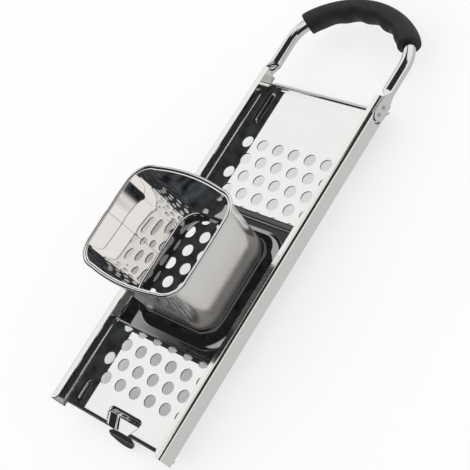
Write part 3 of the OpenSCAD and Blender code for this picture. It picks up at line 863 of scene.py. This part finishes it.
def handle_point(s):
    """Place and outward direction of the handle's centre line at distance s from its middle."""
    d = abs(s)
    if d <= BAR_END:
        turn = math.pi / 2 - d / CROSSBAR_R
        x, y = CROSSBAR_R * math.cos(turn), CROSSBAR_Y + CROSSBAR_R * math.sin(turn)
    elif d <= BEND_END:
        turn = CORNER_TURN - (d - BAR_END) / CORNER_R
        x, y = CORNER_X + CORNER_R * math.cos(turn), CORNER_Y + CORNER_R * math.sin(turn)
    else:
        turn = 0
        x, y = LEG_X, CORNER_Y - (d - BEND_END)
    side = -1 if s < 0 else 1
    return Vector((side * x, y, HANDLE_Z)), Vector((side * math.cos(turn), math.sin(turn), 0))


def power(value, exponent):
    """A power that keeps the value's sign."""
    return math.copysign(abs(value) ** exponent, value)


def tab_half_height(d):
    """Half height of the flattened end, whose front corners are rounded."""
    left = TAB_END - d
    if left >= TAB_CORNER:
        return TAB_HEIGHT / 2
    return TAB_HEIGHT / 2 - TAB_CORNER + math.sqrt(TAB_CORNER ** 2 - (TAB_CORNER - left) ** 2)


def tube_ring(s):
    """Section of the tube: round, or flattened in the tab, with a smooth change between."""
    d = abs(s)
    centre, outwards = handle_point(s)
    flat = 1 - fade(d - LEG_END, TAB_BLEND)
    half_z = tab_half_height(d) if d > TAB_START else TAB_HEIGHT / 2
    ring = []
    for i in range(TUBE_SIDES):
        a = 2 * math.pi * (i + 0.5) / TUBE_SIDES
        round_x, round_z = TUBE_D / 2 * math.cos(a), TUBE_D / 2 * math.sin(a)
        flat_x = TAB_SHIFT + TAB_THICKNESS / 2 * power(math.cos(a), FLAT_SIDES)
        flat_z = half_z * power(math.sin(a), FLAT_ENDS)
        x = round_x + (flat_x - round_x) * flat
        z = round_z + (flat_z - round_z) * flat
        ring.append(centre + outwards * x + Vector((0, 0, z)))
    return ring


def bent_tube():
    """The handle's tube from one flattened end to the other."""
    half = spread(0, BAR_END, BEND_STEPS) + spread(BAR_END, BEND_END, BEND_STEPS)
    half += spread(BEND_END, LEG_END, LEG_STEPS) + spread(LEG_END, TAB_START, BLEND_STEPS)
    half += spread(TAB_START, TAB_END - TAB_CORNER, TAB_STEPS)
    turns = spread(0, math.pi / 2, TAB_CORNER_STEPS)
    half += [TAB_END - TAB_CORNER * (1 - math.sin(turn)) for turn in turns]
    places = [-d for d in reversed(half)] + [0] + half
    mesh = ring_mesh("bent_tube", [tube_ring(s) for s in places])
    add_piece("bent_tube", mesh, "bed", "tube_steel", ["tube_steel"], "handle_tube")


GRIP_SIDES = 48
GRIP_STEPS = 150
BORE_STEPS = 50
EDGE_STEPS = 6


def grip_radius(s, a):
    """Radius of the sleeve at distance s and angle a round it; a = pi faces the bed."""
    inner = max(0, -math.cos(a)) ** 2
    wave = 0.5 - 0.5 * math.cos(2 * math.pi * s / FINGER_PITCH)
    reach = 1 if abs(s) < FINGER_SPAN else 0
    return GRIP_D / 2 - FINGER_DEPTH * wave * reach * inner


def bore_radius(s, a):
    """Radius of the sleeve's bore, the same all along and round."""
    return TUBE_D / 2 + GRIP_GAP


def grip_ring(s, radius, drop=0.0):
    """Section of the sleeve at distance s, made smaller by drop."""
    centre, outwards = handle_point(s)
    angles = [2 * math.pi * i / GRIP_SIDES for i in range(GRIP_SIDES)]
    return [centre + (radius(s, a) - drop) * (math.cos(a) * outwards + math.sin(a) * Vector(UP))
            for a in angles]


def soft_sleeve():
    """The sleeve on the crossbar, with finger hollows on its inner side and rounded ends."""
    half = GRIP_LENGTH / 2
    body_end = half - GRIP_EDGE
    rings = [grip_ring(body_end * (2 * i / GRIP_STEPS - 1), grip_radius) for i in range(GRIP_STEPS + 1)]
    for turn in spread(0, math.pi / 2, EDGE_STEPS):
        drop = GRIP_EDGE * (1 - math.cos(turn))
        end = body_end + GRIP_EDGE * math.sin(turn)
        rings.append(grip_ring(end, grip_radius, drop))
        rings.insert(0, grip_ring(-end, grip_radius, drop))
    rings += [grip_ring(half * (1 - 2 * i / BORE_STEPS), bore_radius) for i in range(BORE_STEPS + 1)]
    mesh = ring_mesh("soft_sleeve", rings, closed=True)
    add_piece("soft_sleeve", mesh, "bed", "grip_rubber", ["grip_rubber"], "grip")


bent_tube()
soft_sleeve()

# ---------------------------------------------------------------- floor

FLOOR_GAP = 0.2 * MM               # between the floor and the part's lowest point
FLOOR_Z = CAD_BOX[0].z - FLOOR_GAP
FLOOR_HALF = 6.0
FLOOR_COLOR = (0.98, 0.98, 0.98)

# share of plain white that keeps the floor pale in a shadow, round the part,
FLOOR_GLOW = 0.60
FRONT_GLOW = 0.05                  # where the front holes show it,
REAR_GLOW = 0.42                   # the rear ones
HOPPER_GLOW = 0.62                 # and those in the hopper
SEEN_SHIFT = 15.0 * MM             # the holes show the floor this much further left,
SEEN_BACK = 4.0 * MM               # and this much further back,
SEEN_SHORT_X = 4.0 * MM            # and end this far inside the right rail
SEEN_SHORT_Y = 8.0 * MM            # and the rear edge
SEEN_X = (-RAIL_X - SEEN_SHIFT / 2, RAIL_X - SEEN_SHIFT - SEEN_SHORT_X)
SEEN_Y = (BED_FRONT + SEEN_BACK, BED_REAR + SEEN_BACK - SEEN_SHORT_Y)

# how bright metal shows the floor, with a painted shadow under the bed
UNDER_BED = 0.45
PAST_FRONT = 2.0 * MM              # how far the bed's shade goes on past its ends
PAST_REAR = 8.0 * MM
UNDER_X = (-RAIL_X, RAIL_X)
UNDER_Y = (BED_FRONT - PAST_FRONT, BED_REAR + PAST_REAR)
AROUND = 0.62
DIM_PATCH = 0.05                   # at the front left
DIM_X = (-160 * MM, 40 * MM)
DIM_Y = (-400 * MM, 15 * MM)


def floor_glow(sh, x, y):
    """Share of plain white in the floor, less where the holes show it in the bed's shadow."""
    seen = sh.product(sh.band(x, *SEEN_X), sh.band(y, *SEEN_Y))
    in_hopper = sh.band(y, SLED_Y - FOOT_Y, SLED_Y + FOOT_Y + SEEN_BACK)
    through_bed = sh.blend(sh.ramp(y, SLED_Y - FOOT_Y, SLED_Y + FOOT_Y), FRONT_GLOW, REAR_GLOW)
    return sh.blend(seen, FLOOR_GLOW, sh.blend(in_hopper, through_bed, HOPPER_GLOW))


def floor_in_metal(sh, x, y):
    """Brightness of the floor as metal shows it, with a painted shadow of the bed under it."""
    under = sh.product(sh.band(x, *UNDER_X), sh.band(y, *UNDER_Y))
    dim = sh.product(sh.band(x, *DIM_X), sh.band(y, *DIM_Y))
    return sh.blend(under, sh.blend(dim, AROUND, DIM_PATCH), UNDER_BED)


def floor_material():
    """Plain pale floor. Metal shows it grey, with a painted shadow under the bed and a dim patch at the
    front left.
    """
    mat = bpy.data.materials.new("floor")
    mat.use_nodes = True
    mat.cycles.emission_sampling = "NONE"
    mat.node_tree.nodes.clear()
    sh = Shader(mat.node_tree)
    x, y, _ = sh.axes(sh.add("ShaderNodeTexCoord").outputs["Object"])
    path = sh.add("ShaderNodeLightPath")
    diffuse = sh.add("ShaderNodeBsdfDiffuse")
    sh.feed(diffuse.inputs["Color"], (*FLOOR_COLOR, 1))
    glow = sh.product(path.outputs["Is Camera Ray"], floor_glow(sh, x, y))
    pale = sh.mix(glow, diffuse.outputs["BSDF"], sh.light("ShaderNodeEmission", 1.0))
    mirrored = sh.light("ShaderNodeEmission", floor_in_metal(sh, x, y))
    surface = sh.mix(path.outputs["Is Glossy Ray"], pale, mirrored)
    sh.feed(sh.add("ShaderNodeOutputMaterial").inputs["Surface"], surface)
    return mat


def pale_floor():
    """One large flat sheet just below the part."""
    mesh = bpy.data.meshes.new("floor")
    signs = [(-1, -1), (1, -1), (1, 1), (-1, 1)]
    corners = [(sx * FLOOR_HALF, sy * FLOOR_HALF, FLOOR_Z) for sx, sy in signs]
    mesh.from_pydata(corners, [], [(0, 1, 2, 3)])
    mesh.materials.append(floor_material())
    floor = bpy.data.objects.new("floor", mesh)
    bpy.context.scene.collection.objects.link(floor)


pale_floor()

# ---------------------------------------------------------------- studio light

BRIGHT_LEVEL = 0.97
DARK_LEVEL = 0.03
EDGE = 0.04

# the dark places that metal shows, by the direction (x, y, z) in which it sees them:
# a range of a band, or where a ramp starts and ends
HIGH_Z = (0.40, 0.50)
CEILING_X = (0.03, 0.71)
CEILING_Y = (0.08, 0.52)
BEAM_X = (-0.47, 0.10)
BEAM_Y = (0.33, 0.52)
SLIT_X = (-0.53, -0.49)
SLIT_Y = (0.00, 0.30)
SLIT_SHARE = 0.9
RIGHT_X = (0.41, 0.45)
RIGHT_Y = (-0.20, 0.40)
RIGHT_Z = (0.34, 0.42)
FRONT_X = (-0.30, -0.38)
FRONT_Y = (0.02, -0.02)
FRONT_Z = (0.90, 0.82)
HORIZON_X = (-0.25, -0.35)
HORIZON_Y = (0.45, 0.50)
HORIZON_Z = (0.36, 0.30)


def dark_places(sh, x, y, z):
    """1 in the studio's dark places, 0 elsewhere."""
    high = sh.ramp(z, *HIGH_Z)
    ceiling = sh.product(sh.band(x, *CEILING_X, EDGE), sh.band(y, *CEILING_Y, EDGE), high)
    beam = sh.product(sh.band(x, *BEAM_X, EDGE), sh.band(y, *BEAM_Y, EDGE), high)
    slit = sh.product(sh.band(x, *SLIT_X, EDGE), sh.band(y, *SLIT_Y, EDGE), SLIT_SHARE)
    right = sh.product(sh.ramp(x, *RIGHT_X), sh.band(y, *RIGHT_Y, EDGE), sh.ramp(z, *RIGHT_Z))
    front = sh.product(sh.most(sh.ramp(x, *FRONT_X), sh.ramp(z, *FRONT_Z)), sh.ramp(y, *FRONT_Y))
    horizon = sh.product(sh.ramp(x, *HORIZON_X), sh.ramp(y, *HORIZON_Y), sh.ramp(z, *HORIZON_Z))
    return sh.most(ceiling, right, beam, slit, front, horizon)


def studio_world():
    """White light from all round; metal sees a white studio with a few dark places."""
    world = bpy.data.worlds.new("studio")
    world.use_nodes = True
    world.cycles.sampling_method = "NONE"
    world.node_tree.nodes.clear()
    sh = Shader(world.node_tree)
    dark = dark_places(sh, *sh.axes(sh.add("ShaderNodeTexCoord").outputs["Generated"]))
    studio = sh.light("ShaderNodeBackground", sh.blend(dark, BRIGHT_LEVEL, DARK_LEVEL))
    white = sh.light("ShaderNodeBackground", 1.0)
    mirrored = sh.add("ShaderNodeLightPath").outputs["Is Glossy Ray"]
    surface = sh.mix(mirrored, white, studio)
    sh.feed(sh.add("ShaderNodeOutputWorld").inputs["Surface"], surface)
    return world


bpy.context.scene.world = studio_world()

# ---------------------------------------------------------------- camera

# the photograph's camera, found from the grid of holes
CAMERA_AT = Vector((0.557401, -0.172077, 0.618653))
CAMERA_RIGHT = Vector((0.705102, 0.519146, -0.483031))
CAMERA_DOWN = Vector((0.269606, -0.826295, -0.494518))
FOCAL_PX = 1245.05
FRAME_PX = 470
SENSOR_MM = 36
CLIP_NEAR = 0.05
CLIP_FAR = 30


def photo_camera():
    """The camera at the photograph's place and angle."""
    camera = bpy.data.cameras.new("camera")
    camera.sensor_width = SENSOR_MM
    camera.lens = FOCAL_PX / FRAME_PX * SENSOR_MM
    camera.clip_start = CLIP_NEAR
    camera.clip_end = CLIP_FAR
    right = CAMERA_RIGHT.normalized()
    up = -(CAMERA_DOWN - CAMERA_DOWN.dot(right) * right).normalized()
    turn = Matrix((right, up, right.cross(up))).transposed()
    piece = bpy.data.objects.new("camera", camera)
    piece.matrix_world = Matrix.Translation(CAMERA_AT) @ turn.to_4x4()
    bpy.context.scene.collection.objects.link(piece)
    return piece


bpy.context.scene.camera = photo_camera()
bpy.context.scene.view_settings.view_transform = "Standard"
